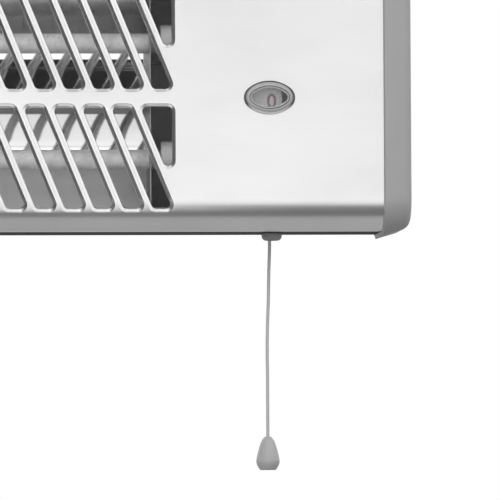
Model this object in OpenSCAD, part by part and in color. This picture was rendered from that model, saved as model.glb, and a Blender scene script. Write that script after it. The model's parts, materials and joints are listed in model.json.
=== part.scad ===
// Wall-mounted infrared heater with two quartz tubes, a pull cord switch and a tilting wall bracket.
// X runs along the heater, the front looks towards -Y, Z is up. The wall is the plane y = 0.
// Most pieces are placed in the heater's own frame: x, depth behind the front face, height from mid height.

/* [Front panel] */
// Length of the front panel
panel_len = 520; // [500:5:600]
// Height of the front panel
panel_h = 144; // [140:1:160]
// Radius of the panel's rounded long edges
edge_r = 18; // [12:1:20]
// Thickness of the stainless sheet
panel_t = 0.8; // [0.6:0.1:1]
// How far the panel runs back from its front face
panel_return = 24; // [22:1:30]

/* [Grille] */
// Number of whole slots in each row
slot_count = 21; // [10:1:22]
// Distance from one slot to the next
slot_pitch = 15.93; // [14:0.01:17]
// Width of a slot, measured level
slot_w = 10.4; // [8:0.1:11]
// Height of a slot
slot_h = 55.8; // [45:0.1:56]
// Lean of the slots from upright, in degrees
slot_tilt = 22.2; // [10:0.1:26]
// Radius of the slot corners
slot_r = 2.5; // [1.5:0.1:3]
// Solid web between the two rows
web_h = 10; // [8:0.5:14]
// Place of the grille's right end from the heater's middle
grille_right = 144; // [130:1:150]
// Top width of the three-cornered opening at the row's end
corner_w = 17.2; // [15:0.1:19]
// Thickness of the pressed-in lip round each slot
lip_t = 0.8; // [0.6:0.1:1.2]
// Depth of the pressed-in lip
lip_depth = 2.6; // [1.5:0.1:4]

/* [Casing and caps] */
// Depth of the body, front face to back wall
body_depth = 78; // [76:1:90]
// Depth at which the casing starts to taper
knee_depth = 62; // [55:1:66]
// Height of the casing's back wall
back_h = 132; // [110:1:138]
// Thickness of the casing sheet
casing_t = 1; // [0.8:0.1:1.2]
// Width of an end cap
cap_w = 15; // [13:0.5:20]
// How far the end caps stand proud of the panel
cap_proud = 2.5; // [1.5:0.1:3]
// Wall thickness of an end cap
cap_wall = 2.5; // [1.5:0.1:3]

/* [Tubes and reflector] */
// Outer diameter of a quartz tube
tube_d = 10.9; // [8:0.1:12]
// Wall of a quartz tube
tube_wall = 1.15; // [0.8:0.05:1.5]
// Distance between the two tube axes
tube_spacing = 64; // [60:1:70]
// Depth of the tube axes behind the front face
tube_depth = 30; // [26:1:34]
// Length of tube that shows between its ceramic ends
tube_len = 342; // [330:1:350]
// Place of the tubes' middle from the heater's middle
tube_mid = -32; // [-34:1:-30]
// Diameter of a ceramic tube end
socket_d = 20; // [18:0.5:22]
// Depth of a reflector trough's bottom behind the front face
trough_back = 50; // [49:1:54]
// Height of a trough's bottom from mid height
trough_low = 25.5; // [24:0.5:27]
// Radius of a trough round its bottom
trough_r = 38; // [36:1:40]
// Radius of its flatter part towards the middle ridge
ridge_r = 56.5; // [54:0.5:60]
// Angle at which the bottom's curve meets the flatter part
ridge_angle = 9; // [7:1:11]
// Angle at which the bottom's curve meets the straight outer flank
flank_angle = 36; // [34:1:38]
// Lean of the troughs, in degrees, so that they throw the heat down
trough_lean = 1.75; // [0:0.25:2]
// Thickness of the reflector sheet
reflector_t = 0.5; // [0.4:0.1:0.8]

/* [Window and dial] */
// Place of the window's middle along the heater
window_x = 197.2; // [190:0.1:205]
// Width of the oval window
window_w = 27.8; // [24:0.1:32]
// Height of the oval window
window_h = 18.4; // [16:0.1:20]
// How far the window's cap stands proud
window_proud = 2.4; // [1.5:0.1:4]
// Diameter of the dial
dial_d = 37; // [30:1:38]
// Depth of the dial's face
dial_depth = 8; // [6:0.5:10]

/* [Pull switch] */
// Width of the switch housing
switch_w = 40; // [38:1:44]
// Height of the switch housing
switch_h = 44; // [40:1:50]
// Depth at which the switch housing starts
switch_front = 34; // [32:1:36]
// Depth at which the switch housing ends
switch_back = 58; // [56:1:62]
// Radius at which the cord winds on the drum
wind_r = 14; // [12:0.5:14.5]
// Diameter of the switch's shaft
shaft_d = 6; // [5:0.5:7]
// Number of ratchet teeth
ratchet_teeth = 9; // [6:1:12]
// Angle of one switch step, in degrees
step_angle = 40; // [30:1:60]

/* [Pull cord] */
// Diameter of the pull cord
cord_d = 1.8; // [1.5:0.1:2.2]
// Diameter of the grommet's flange
grommet_d = 11.4; // [10:0.1:13]
// How far the grommet hangs below the casing
grommet_h = 4; // [3:0.1:5]
// Height of the knob
knob_h = 18.5; // [14:0.5:24]
// Greatest diameter of the knob
knob_d = 13; // [10:0.1:16]

/* [Wall bracket] */
// Length of the bracket, over its ears
bracket_len = 200; // [160:1:300]
// Height of the bracket
bracket_h = 32; // [26:1:36]
// Thickness of the bracket steel
bracket_t = 2; // [1.5:0.1:3]
// Distance of the pivot from the wall
pivot_out = 20; // [18:1:30]
// Gap from the pivot to the casing's back wall
pivot_gap = 12; // [12:0.5:16]
// Drop of the pivot below the heater's mid height
pivot_drop = 34; // [28:1:40]
// Diameter of the pivot bolts
bolt_d = 5; // [4:0.5:6]
// Radius of the ears' round ends
ear_r = 8.5; // [7:0.1:10]
// Distance between the two wall screws
screw_spacing = 140; // [100:1:150]
// Diameter of the wall screw holes
screw_hole_d = 5.5; // [4:0.1:7]

/* [Wiring] */
// Diameter of an insulated lead
lead_d = 2.2; // [1.6:0.1:3]
// Diameter of the mains cable that the gland takes
cable_d = 7.8; // [6:0.1:9]

/* [Hidden] */

// Fits
run_gap = 0.05;
seat_gap = 0.1;
free_gap = 0.3;
round_fn = 64;

// The heater's place against the wall
front_out = body_depth + pivot_gap + pivot_out;

// Line of the hanging cord: place along the heater, and drop below the grommet
cord_line = [[200, 0], [200, 3], [199.9, 7], [199.7, 12], [199.5, 17], [199.4, 22], [199.3, 27],
    [199.2, 32], [199, 37], [198.8, 42], [198.6, 47], [198.5, 52], [198.4, 57], [198.4, 62], [198.4, 67],
    [198.5, 72], [198.5, 77], [198.5, 82], [198.5, 87], [198.5, 92], [198.5, 97], [198.5, 102],
    [198.5, 106], [198.5, 108]];
cord_x = cord_line[0].x;
cord_depth = 45;
cord_exit = -panel_h / 2 - grommet_h;
cord_route = [for (p = cord_line) [p.x, cord_depth - front_out, cord_exit + pivot_drop - p.y]];
knob_top = cord_route[len(cord_route) - 1];
grommet_x = cord_x + 1.2;

// Grille
slot_lean = tan(slot_tilt);
slot_shift = slot_h * slot_lean;
grille_len = 2 * corner_w + (slot_count + 1) * slot_pitch - slot_w - slot_shift;
grille_left = grille_right - grille_len;

// Tubes
tube_half = tube_len / 2;
socket_len = 10;
neck_len = 5;
neck_d = 14;
tube_insert = 6;
pin_len = 16;
pin_d = 2.6;
coil_d = tube_d - 2 * tube_wall - 1.6;
coil_wall = 0.8;
bracket_plate_t = 1.2;
bracket_plate_at = tube_half + socket_len + 1.4;
pin_end = tube_half + tube_insert + pin_len;
trough_rim = tube_spacing - 3;
ridge_start = trough_low - trough_r * sin(ridge_angle);
ridge_end = asin(sin(ridge_angle) + (ridge_start - 1) / ridge_r);
ridge_from = [trough_back - trough_r * (1 - cos(ridge_angle)) - ridge_r * cos(ridge_angle),
    ridge_start + ridge_r * sin(ridge_angle)];
trough_rim_depth = trough_back - trough_r * (1 - cos(flank_angle))
    - (trough_rim - trough_low - trough_r * sin(flank_angle)) * tan(flank_angle);
reflector_half = tube_half - 6.5;

// Control box
partition_x = 164;
partition_t = 0.8;
plate_inset = panel_t + seat_gap + casing_t + seat_gap;
back_inner = body_depth - casing_t;
switch_x = cord_x - wind_r;
switch_wall = 2;
drum_front = cord_depth - 4;
drum_back = cord_depth + 4;
drum_flange_t = 1;
drum_flange_r = 16;
ratchet_front = 36;
tab_depth = cord_depth + 1;
ratchet_t = 3.5;
ratchet_r = 10;

// Wall bracket
ear_outer = bracket_len / 2;
lug_t = 2;
washer_t = 0.9;
washer_r = 7;
bolt_tail = 11;
lug_outer = ear_outer - bracket_t - washer_t - seat_gap;

// Places of the fasteners
cap_screw_z = 45;
cap_screw_depth = 36;
panel_screw_depth = 20;
panel_screws_top = [-220, 0, 220];
panel_screws_bottom = [-210, -60];
rivet_spread = 9;
gland_x = 232;
gland_z = -40;
clamp_z = -19;
block_x = 235;
block_z = 34;
pole_step = 5.5;
block_front = back_inner - 14;
pole_depth = block_front + 7;
clamp_front = back_inner - 11;
clamp_reach = 11;
lead_run = back_inner - 8;
lead_z = 24;
bracket_front = 18;
vent_pitch = 20;
cutout_depth = 58;
cutout_z = 48;

// Placing

module in_heater() {
    translate([0, -front_out, pivot_drop]) children();
}

// Sweeps a (depth, height) profile along the heater
module along_x(x0, x1) {
    translate([x0, 0, 0]) rotate([90, 0, 90]) linear_extrude(x1 - x0) children();
}

// Sweeps an (x, height) profile from one depth to another
module along_depth(d0, d1) {
    translate([0, d1, 0]) rotate([90, 0, 0]) linear_extrude(d1 - d0) children();
}

module rod_depth(x, z, d0, d1, r) {
    translate([x, d0, z]) rotate([-90, 0, 0]) cylinder(h = d1 - d0, r = r, $fn = round_fn);
}

module rod_x(x0, x1, depth, z, r) {
    translate([x0, depth, z]) rotate([0, 90, 0]) cylinder(h = x1 - x0, r = r, $fn = round_fn);
}

module rod_z(x, depth, z0, z1, r) {
    translate([x, depth, z0]) cylinder(h = z1 - z0, r = r, $fn = round_fn);
}

module sides() {
    children();
    mirror([1, 0, 0]) children();
}

// Outlines

// Cross-section of the whole body, grown outwards or, below zero, drawn inwards
module body_outline(grow, fn = round_fn) {
    flat = panel_h / 2 - edge_r;
    for (s = [-1, 1]) translate([edge_r, s * flat]) circle(edge_r + grow, $fn = fn);
    translate([-grow, -flat]) square([edge_r + grow, 2 * flat]);
    translate([edge_r, -panel_h / 2 - grow]) square([knee_depth - edge_r, panel_h + 2 * grow]);
    polygon([[knee_depth, -panel_h / 2 - grow], [body_depth + grow, -back_h / 2 - grow],
        [body_depth + grow, back_h / 2 + grow], [knee_depth, panel_h / 2 + grow]]);
}

// A sheet that follows the body's outline, from one inset to another
module skin(outer, inner) {
    difference() {
        body_outline(-outer);
        body_outline(-inner);
    }
}

module depth_band(d0, d1) {
    translate([d0, -panel_h]) square([d1 - d0, 2 * panel_h]);
}

// A convex outline given by the centres of its round corners, counter-clockwise
module rounded(corners, r) {
    n = len(corners);
    out = [for (i = [0 : n - 1]) let (way = corners[(i + 1) % n] - corners[i]) atan2(-way.x, way.y)];
    polygon([for (i = [0 : n - 1]) let (
        from = out[(i + n - 1) % n],
        turn = (out[i] - from + 360) % 360,
        steps = ceil(turn / 24)
    ) for (k = [0 : steps]) corners[i] + r * [cos(from + turn * k / steps), sin(from + turn * k / steps)]]);
}

// An oval of four arcs with half axes a and b and end radius e
module oval(a, b, e) {
    rise = (pow(a - e, 2) - pow(b - e, 2)) / (2 * (b - e));
    big_r = b + rise;
    meet_x = big_r * (a - e) / (big_r - e);
    intersection() {
        translate([0, rise]) circle(big_r, $fn = 128);
        translate([0, -rise]) circle(big_r, $fn = 128);
        square([2 * meet_x, 2 * b + 1], center = true);
    }
    for (s = [-1, 1]) translate([s * (a - e), 0]) circle(e, $fn = round_fn);
}

module window_oval(grow) {
    translate([window_x, 0]) oval(window_w / 2 + grow, window_h / 2 + grow, window_h * 0.36 + grow);
}

function slot_corners(x) = let (
    side = slot_r / cos(slot_tilt),
    top = x + slot_r * slot_lean,
    low = x + (slot_h - slot_r) * slot_lean,
    z = slot_h / 2 - slot_r
) [[low + side, -z], [low + slot_w - side, -z], [top + slot_w - side, z], [top + side, z]];

function end_corners(x) = let (
    side = slot_r / cos(slot_tilt),
    z = slot_h / 2 - slot_r
) [[grille_right - slot_r, slot_h / 2 - (corner_w - slot_r - side) / slot_lean],
    [grille_right - slot_r, z], [x + slot_r * slot_lean + side, z]];

module slot_row(grow) {
    tip_x = grille_right - corner_w;
    end = end_corners(tip_x);
    for (i = [1 : slot_count]) rounded(slot_corners(tip_x - i * slot_pitch), slot_r + grow);
    rounded(end, slot_r + grow);
    rounded([for (c = end) [grille_left + grille_right - c.x, -c.y]], slot_r + grow);
}

module slots(grow) {
    for (s = [-1, 1]) translate([0, s * (slot_h + web_h) / 2]) slot_row(grow);
}

// A tube swept along points. ref is a direction that the route never runs along.
function unit(v) = v / norm(v);

function tube_points(path, r, sides, ref) = let (n = len(path)) [
    for (i = [0 : n - 1]) let (
        t = unit(path[min(i + 1, n - 1)] - path[max(i - 1, 0)]),
        u = unit(cross(ref, t)),
        v = cross(t, u)
    ) for (k = [0 : sides - 1]) path[i] + r * (cos(360 * k / sides) * u + sin(360 * k / sides) * v)];

function tube_faces(rings, sides) = let (last = (rings - 1) * sides) concat(
    [for (i = [0 : rings - 2], k = [0 : sides - 1]) let (a = i * sides + k, b = i * sides + (k + 1) % sides)
        each [[a, b + sides, b], [a, a + sides, b + sides]]],
    [for (k = [1 : sides - 2]) [0, k, k + 1]],
    [for (k = [1 : sides - 2]) [last, last + k + 1, last + k]]);

module tube(path, r, sides = 8, ref = [0, 1, 0]) {
    polyhedron(tube_points(path, r, sides, ref), tube_faces(len(path), sides), convexity = 6);
}

// Points on a smooth curve through the route's points
function on_curve(p, i, f) = let (
    n = len(p) - 1,
    a = p[max(i - 1, 0)], b = p[i], c = p[min(i + 1, n)], d = p[min(i + 2, n)]
) 0.5 * (2 * b + (c - a) * f + (2 * a - 5 * b + 4 * c - d) * f * f + (3 * b - a - 3 * c + d) * f * f * f);

function smooth(p, steps) = [
    for (i = [0 : len(p) - 2], s = [0 : steps - 1]) on_curve(p, i, s / steps),
    p[len(p) - 1]];

// Front panel

module lens_hole() {
    along_depth(-1, panel_t + 1) window_oval(seat_gap);
}

module panel_screw_holes(r) {
    for (x = panel_screws_top) rod_z(x, panel_screw_depth, panel_h / 2 - 4, panel_h / 2 + 1, r);
    for (x = panel_screws_bottom) rod_z(x, panel_screw_depth, -panel_h / 2 - 1, -panel_h / 2 + 4, r);
}

module front_panel() {
    color("gainsboro") in_heater() difference() {
        union() {
            along_x(-panel_len / 2, panel_len / 2) intersection() {
                skin(0, panel_t);
                depth_band(-1, panel_return);
            }
            intersection() {
                along_x(grille_left - 4, grille_right + 4) skin(panel_t / 2, lip_depth);
                along_depth(0, edge_r) slots(lip_t);
            }
        }
        along_depth(-1, edge_r) slots(0);
        lens_hole();
        panel_screw_holes(1.6);
    }
}

module panel_screws() {
    color("silver") in_heater() {
        for (x = panel_screws_top) translate([x, panel_screw_depth, panel_h / 2]) panel_screw();
        for (x = panel_screws_bottom) translate([x, panel_screw_depth, -panel_h / 2]) mirror([0, 0, 1])
            panel_screw();
    }
}

module panel_screw() {
    translate([0, 0, seat_gap]) cylinder(h = 1.7, r1 = 3, r2 = 2.2, $fn = 32);
    translate([0, 0, -6]) cylinder(h = 6.2, r = 1.5, $fn = 32);
}

// Rear casing

module vent(x) {
    slot_top = 50;
    slot_low = 26;
    vent_r = 2.5;
    for (z = [slot_low, slot_top]) translate([x, z]) circle(vent_r, $fn = 32);
    translate([x - vent_r, slot_low]) square([2 * vent_r, slot_top - slot_low]);
}

module rear_casing() {
    tongue = panel_t + seat_gap;
    color("dimgray") in_heater() difference() {
        along_x(-panel_len / 2, panel_len / 2) {
            intersection() {
                skin(0, casing_t);
                depth_band(panel_return + 0.2, body_depth + 1);
            }
            intersection() {
                skin(tongue, tongue + casing_t);
                depth_band(panel_return - 8, panel_return + 2);
            }
        }
        along_depth(back_inner - 1, body_depth + 1) for (i = [-9 : 6]) vent(i * vent_pitch);
        rod_z(grommet_x, cord_depth, -panel_h / 2 - 1, -panel_h / 2 + 3, grommet_d / 2 - 1.3);
        rod_depth(gland_x, gland_z, back_inner - 1, body_depth + 1, 7);
        for (s = [-1, 1]) rod_depth(gland_x + s * clamp_reach, clamp_z, back_inner - 1, body_depth + 1, 1.6);
        lug_rivet_places() rod_depth(0, 0, -3, 1, 1.6);
        panel_screw_holes(1.6);
    }
}

// End caps and end plates

// Outside of an end cap: how far out each slice lies, and how it grows over the body's outline
module cap_form(slices) {
    hull() for (s = slices) translate([s[0], 0, 0]) rotate([90, 0, 90])
        linear_extrude(0.02) body_outline(s[1], 32);
}

module end_cap() {
    rim_x = panel_len / 2 + 0.2;
    boss_r = 4.4;
    boss_from = seat_gap - 2.2;
    translate([rim_x, 0, 0]) difference() {
        union() {
            difference() {
                cap_form([[0, cap_proud], [cap_w * 0.66, cap_proud - 2.9], [cap_w * 0.83, cap_proud - 4.1],
                    [cap_w * 0.95, cap_proud - 6.1], [cap_w - 0.02, cap_proud - 8.7]]);
                cap_form([[-1, cap_proud - cap_wall], [cap_w * 0.6, cap_proud - cap_wall - 2.7],
                    [cap_w - cap_wall, cap_proud - cap_wall - 6.2]]);
            }
            for (s = [-1, 1]) rod_x(boss_from, cap_w - cap_wall + 0.5, cap_screw_depth, s * cap_screw_z, boss_r);
        }
        for (s = [-1, 1]) {
            rod_x(-3, cap_w + 1, cap_screw_depth, s * cap_screw_z, 2.1);
            rod_x(cap_w - 3.8, cap_w + 1, cap_screw_depth, s * cap_screw_z, 3.8);
        }
    }
}

module end_cap_left() {
    color("darkgray") in_heater() mirror([1, 0, 0]) end_cap();
}

module end_cap_right() {
    color("darkgray") in_heater() end_cap();
}

module end_plate() {
    difference() {
        along_x(panel_len / 2 - 3.2, panel_len / 2 - 2) body_outline(-plate_inset);
        for (s = [-1, 1]) rod_x(panel_len / 2 - 5, panel_len / 2, cap_screw_depth, s * cap_screw_z, 2);
    }
}

module end_plate_left() {
    color("lightgray") in_heater() mirror([1, 0, 0]) end_plate();
}

module end_plate_right() {
    color("lightgray") in_heater() end_plate();
}

module end_cap_screws() {
    head_x = panel_len / 2 + 0.2 + cap_w - 3.8;
    color("silver") in_heater() sides() for (s = [-1, 1]) {
        difference() {
            rod_x(head_x, head_x + 2.4, cap_screw_depth, s * cap_screw_z, 3.5);
            for (a = [0, 90]) translate([head_x + 2.4, cap_screw_depth, s * cap_screw_z])
                rotate([a, 0, 0]) cube([2, 0.9, 4], center = true);
        }
        rod_x(panel_len / 2 - 8, head_x, cap_screw_depth, s * cap_screw_z, 1.9);
    }
}

// Reflector

// A point of the troughs, turned with their lean
function leant(d, z) = [44 + (d - 44) * cos(trough_lean) - z * sin(trough_lean),
    (d - 44) * sin(trough_lean) + z * cos(trough_lean)];

// One face of the reflector's sheet on one side, 1 up and -1 down, from its lip in to the ridge
function sheet_line(side, grow) =
    let(near = trough_r + grow, far = ridge_r + grow, lip_d = 14 + grow,
        rim_z = leant(trough_rim_depth, side * trough_rim)[1] + side * grow,
        rim_d = leant(trough_rim_depth + grow * cos(flank_angle), side * (trough_rim + grow * sin(flank_angle)))[0])
    concat(
        [[lip_d, side * (panel_h / 2 - plate_inset)], [lip_d, rim_z], [rim_d, rim_z]],
        [for (k = [0 : 15]) let(a = flank_angle - (flank_angle + ridge_angle) * k / 15)
            leant(trough_back - trough_r + near * cos(a), side * (trough_low + near * sin(a)))],
        [for (k = [1 : 7]) let(a = ridge_angle + (ridge_end - ridge_angle) * k / 7)
            leant(ridge_from[0] + far * cos(a), side * (ridge_from[1] - far * sin(a)))]);

function turned_round(list) = [for (i = [len(list) - 1 : -1 : 0]) list[i]];

module reflector() {
    color("whitesmoke") in_heater() along_x(tube_mid - reflector_half, tube_mid + reflector_half)
        polygon(concat(sheet_line(1, 0), turned_round(sheet_line(-1, 0)),
            sheet_line(-1, reflector_t), turned_round(sheet_line(1, reflector_t))));
}

module tube_places() {
    for (s = [-1, 1]) translate([0, tube_depth, s * tube_spacing / 2]) children();
}

module reflector_end() {
    plate_at = reflector_half + seat_gap;
    difference() {
        along_x(plate_at, plate_at + 0.6) translate([14, -panel_h / 2 + 11])
            square([trough_back - 12, panel_h - 22]);
        tube_places() rod_x(plate_at - 1, plate_at + 2, 0, 0, tube_d / 2 + 1);
    }
}

module reflector_end_left() {
    color("whitesmoke") in_heater() translate([tube_mid, 0, 0]) mirror([1, 0, 0]) reflector_end();
}

module reflector_end_right() {
    color("whitesmoke") in_heater() translate([tube_mid, 0, 0]) reflector_end();
}

// Tubes

module quartz_tube() {
    reach = tube_half + tube_insert - 0.2;
    difference() {
        rod_x(tube_mid - reach, tube_mid + reach, 0, 0, tube_d / 2);
        rod_x(tube_mid - reach - 1, tube_mid + reach + 1, 0, 0, tube_d / 2 - tube_wall);
    }
}

// The wound wire is hidden by the frosted quartz, so its sleeve of turns is one plain tube
module heating_coil() {
    reach = tube_half + 1;
    difference() {
        rod_x(tube_mid - reach, tube_mid + reach, 0, 0, coil_d / 2);
        rod_x(tube_mid - reach - 1, tube_mid + reach + 1, 0, 0, coil_d / 2 - coil_wall);
    }
}

module upper() {
    in_heater() translate([0, tube_depth, tube_spacing / 2]) children();
}

module lower() {
    in_heater() translate([0, tube_depth, -tube_spacing / 2]) children();
}

module quartz_tube_upper() {
    color("white") upper() quartz_tube();
}

module quartz_tube_lower() {
    color("white") lower() quartz_tube();
}

module heating_coil_upper() {
    color("dimgray") upper() heating_coil();
}

module heating_coil_lower() {
    color("dimgray") lower() heating_coil();
}

module socket() {
    difference() {
        union() {
            rod_x(tube_half, tube_half + socket_len, 0, 0, socket_d / 2);
            rod_x(tube_half + socket_len, tube_half + socket_len + neck_len, 0, 0, neck_d / 2);
        }
        rod_x(tube_half - 1, tube_half + tube_insert, 0, 0, tube_d / 2 + seat_gap);
        rod_x(tube_half, tube_half + 20, 0, 0, pin_d / 2 + run_gap);
    }
}

module tube_bracket() {
    at = bracket_plate_at;
    half_h = 48;
    difference() {
        union() {
            along_x(at, at + bracket_plate_t) translate([bracket_front, -half_h])
                square([back_inner - bracket_front, 2 * half_h]);
            along_x(at, at + 12) translate([back_inner - bracket_plate_t, -half_h])
                square([bracket_plate_t, 2 * half_h]);
        }
        tube_places() rod_x(at - 1, at + 3, 0, 0, neck_d / 2 + seat_gap);
        rod_x(at - 1, at + 3, lead_run, lead_z, lead_d / 2 + 1.4);
    }
}

module tube_sockets_left() {
    color("ivory") in_heater() translate([tube_mid, 0, 0]) mirror([1, 0, 0]) tube_places() socket();
}

module tube_sockets_right() {
    color("ivory") in_heater() translate([tube_mid, 0, 0]) tube_places() socket();
}

module tube_bracket_left() {
    color("lightgray") in_heater() translate([tube_mid, 0, 0]) mirror([1, 0, 0]) tube_bracket();
}

module tube_bracket_right() {
    color("lightgray") in_heater() translate([tube_mid, 0, 0]) tube_bracket();
}

// Pins through the ceramic, each with a collar that grips the end of its coil
module tube_terminals() {
    color("silver") in_heater() translate([tube_mid, 0, 0]) sides() tube_places() {
        rod_x(tube_half - 2, pin_end, 0, 0, pin_d / 2);
        rod_x(tube_half - 2, tube_half + 2, 0, 0, coil_d / 2 - coil_wall - run_gap);
    }
}

// Control box

module partition() {
    color("lightgray") in_heater() difference() {
        along_x(partition_x, partition_x + partition_t) body_outline(-plate_inset);
        tube_places() rod_x(partition_x - 1, partition_x + 2, 0, 0, lead_d / 2 + 1.4);
        rod_x(partition_x - 1, partition_x + 2, lead_run, lead_z, lead_d / 2 + 1.4);
    }
}

module lens() {
    color("lightcyan", 0.5) in_heater() difference() {
        union() {
            along_depth(-window_proud / 2, panel_t + 2.4) window_oval(-seat_gap);
            along_depth(-window_proud, 0) window_oval(-1.6);
            along_depth(panel_t + run_gap, panel_t + 1.05) window_oval(1.6);
        }
        along_depth(-window_proud / 2, panel_t + 3) window_oval(-3.2);
    }
}

module lens_retainer() {
    color("lightgray") in_heater() along_depth(panel_t + 1.15, panel_t + 1.75) difference() {
        window_oval(3.4);
        window_oval(run_gap);
    }
}

module indicator_dial() {
    color("lightgray") in_heater() difference() {
        union() {
            rod_depth(switch_x, 0, dial_depth, dial_depth + 1.2, dial_d / 2);
            rod_depth(switch_x, 0, dial_depth + 1.2, dial_depth + 6, shaft_d / 2 + 2);
        }
        rod_depth(switch_x, 0, dial_depth + 1.3, dial_depth + 7, shaft_d / 2 + run_gap);
    }
}

module dial_shaft() {
    color("silver") in_heater() rod_depth(switch_x, 0, dial_depth + 1.4, switch_back - 1, shaft_d / 2);
}

// Places a profile on the switch's axis, from one depth to another
module on_switch(d0, d1) {
    in_heater() along_depth(d0, d1) translate([switch_x, 0]) children();
}

module ratchet_wheel() {
    root_r = 7.5;
    color("goldenrod") difference() {
        on_switch(ratchet_front, ratchet_front + ratchet_t)
            polygon([for (i = [0 : ratchet_teeth - 1]) let (a = 360 * i / ratchet_teeth)
                each [ratchet_r * [cos(a), sin(a)], root_r * [cos(a + 4), sin(a + 4)]]]);
        on_switch(ratchet_front - 1, ratchet_front + ratchet_t + 1)
            circle(shaft_d / 2 + run_gap, $fn = round_fn);
    }
}

module detent_leaf() {
    wall_x = -switch_w / 2 + switch_wall;
    color("goldenrod") on_switch(ratchet_front, ratchet_front + ratchet_t)
        polygon([[wall_x, -12], [wall_x + 0.8, -12], [wall_x + 1, -8], [-ratchet_r - 0.4, -0.6],
            [-ratchet_r - 0.4, 0.4], [wall_x, -7]]);
}

module cord_drum() {
    core_r = wind_r - cord_d / 2 - run_gap;
    color("white") in_heater() difference() {
        union() {
            rod_depth(switch_x, 0, drum_front, drum_back, core_r);
            rod_depth(switch_x, 0, drum_front, drum_front + drum_flange_t, drum_flange_r);
            rod_depth(switch_x, 0, drum_back - drum_flange_t, drum_back, drum_flange_r);
        }
        rod_depth(switch_x, 0, drum_front - 1, drum_back + 1, shaft_d / 2 + run_gap);
    }
}

// The stretch of cord that lies on the drum, a little way off the straight stretch below it
module cord_wrap() {
    color("lightgray") in_heater() translate([switch_x, cord_depth, 0]) rotate([90, 0, 0]) rotate([0, 0, 4])
        rotate_extrude(angle = 196, $fn = round_fn) translate([wind_r, 0]) circle(cord_d / 2, $fn = 24);
}

module drive_pawl() {
    color("goldenrod") on_switch(ratchet_front + 0.5, drum_front - seat_gap) {
        translate([-3.6, 13]) circle(2, $fn = 32);
        polygon([[-5.4, 12.4], [-2.6, 11.4], [1.2, ratchet_r + 0.5], [0.4, ratchet_r + 1.4], [-2, 14.2]]);
    }
}

module return_spring() {
    coil_r = 8;
    wire_r = 0.6;
    turns = 3;
    start = drum_back + 1;
    rise = 1.5;
    steps = 24;
    color("silver") in_heater() translate([switch_x, start, 0]) tube([for (i = [0 : turns * steps])
        let (a = 360 * i / steps) [coil_r * cos(a), rise * i / steps, coil_r * sin(a)]], wire_r, 6);
}

module switch_housing() {
    color("ivory") in_heater() difference() {
        union() {
            difference() {
                along_depth(switch_front, switch_back) translate([switch_x, 0])
                    square([switch_w, switch_h], center = true);
                along_depth(switch_front - 1, switch_back - switch_wall) translate([switch_x, 0])
                    square([switch_w - 2 * switch_wall, switch_h - 2 * switch_wall], center = true);
            }
            rod_depth(switch_x, 0, switch_back - switch_wall - 2, switch_back - 0.5, shaft_d / 2 + 3);
        }
        rod_depth(switch_x, 0, switch_front, switch_back - 0.8, shaft_d / 2 + run_gap);
        rod_z(cord_x, cord_depth, -switch_h / 2 - 1, 0, cord_d / 2 + free_gap);
    }
}

module switch_cover() {
    color("ivory") in_heater() difference() {
        along_depth(switch_front - switch_wall, switch_front) translate([switch_x, 0])
            square([switch_w, switch_h], center = true);
        rod_depth(switch_x, 0, switch_front - 5, switch_front + 1, shaft_d / 2 + run_gap);
    }
}

module switch_bracket() {
    leg_t = 1.2;
    half = switch_w / 2 - 4;
    half_h = 15;
    foot = 9;
    color("lightgray") in_heater() translate([switch_x, 0, -half_h]) linear_extrude(2 * half_h) {
        translate([-half, switch_back]) square([2 * half, leg_t]);
        for (s = [-1, 1]) translate([s * (half - leg_t / 2), (switch_back + back_inner) / 2])
            square([leg_t, back_inner - switch_back], center = true);
        for (s = [-1, 1]) translate([s * (half - foot / 2), back_inner - leg_t / 2])
            square([foot, leg_t], center = true);
    }
}

module switch_terminals() {
    color("goldenrod") in_heater() for (x = [-10, 0, 10])
        translate([switch_x + x, tab_depth, switch_h / 2 + 4]) cube([6.3, 0.8, 8], center = true);
}

module thermal_cutout() {
    face_x = partition_x + partition_t;
    color("ivory") in_heater() {
        rod_x(face_x, face_x + 7, cutout_depth, cutout_z, 7.5);
        for (s = [-1, 1]) translate([face_x + 9.5, cutout_depth, cutout_z + 4 * s])
            cube([5.4, 4.8, 0.8], center = true);
    }
}

module terminal_block() {
    color("ivory") in_heater() difference() {
        translate([block_x - 15, block_front, block_z - 9]) cube([30, back_inner - block_front, 18]);
        for (s = [-1, 0, 1]) {
            rod_x(block_x - 16, block_x + 16, pole_depth, block_z + s * pole_step, 1.5);
            for (x = [-9, 9]) rod_depth(block_x + x, block_z + s * pole_step, block_front - 1,
                pole_depth, 1.8);
        }
    }
}

module cable_gland() {
    color("dimgray") in_heater() difference() {
        union() {
            rod_depth(gland_x, gland_z, body_depth + seat_gap, body_depth + 2.5, 9);
            rod_depth(gland_x, gland_z, back_inner - 7, body_depth + 1, 6.9);
            translate([gland_x, body_depth + 2.4, gland_z]) rotate([-90, 0, 0])
                cylinder(h = 6, r1 = 8, r2 = 6, $fn = round_fn);
        }
        rod_depth(gland_x, gland_z, back_inner - 10, body_depth + 12, cable_d / 2);
    }
}

module gland_nut() {
    color("dimgray") in_heater() difference() {
        along_depth(back_inner - 4.5, back_inner - seat_gap) translate([gland_x, gland_z]) circle(10, $fn = 6);
        rod_depth(gland_x, gland_z, back_inner - 6, back_inner + 1, 6.95);
    }
}

module cable_clamp() {
    color("ivory") in_heater() difference() {
        translate([gland_x, 0, clamp_z - 4]) linear_extrude(8) {
            translate([-clamp_reach - 4, clamp_front]) square([2 * clamp_reach + 8, 3]);
            for (s = [-1, 1]) translate([s * clamp_reach, (clamp_front + back_inner) / 2])
                square([8, back_inner - clamp_front], center = true);
        }
        for (s = [-1, 1]) rod_depth(gland_x + clamp_reach * s, clamp_z, clamp_front - 5, body_depth + 5, 1.6);
    }
}

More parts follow.
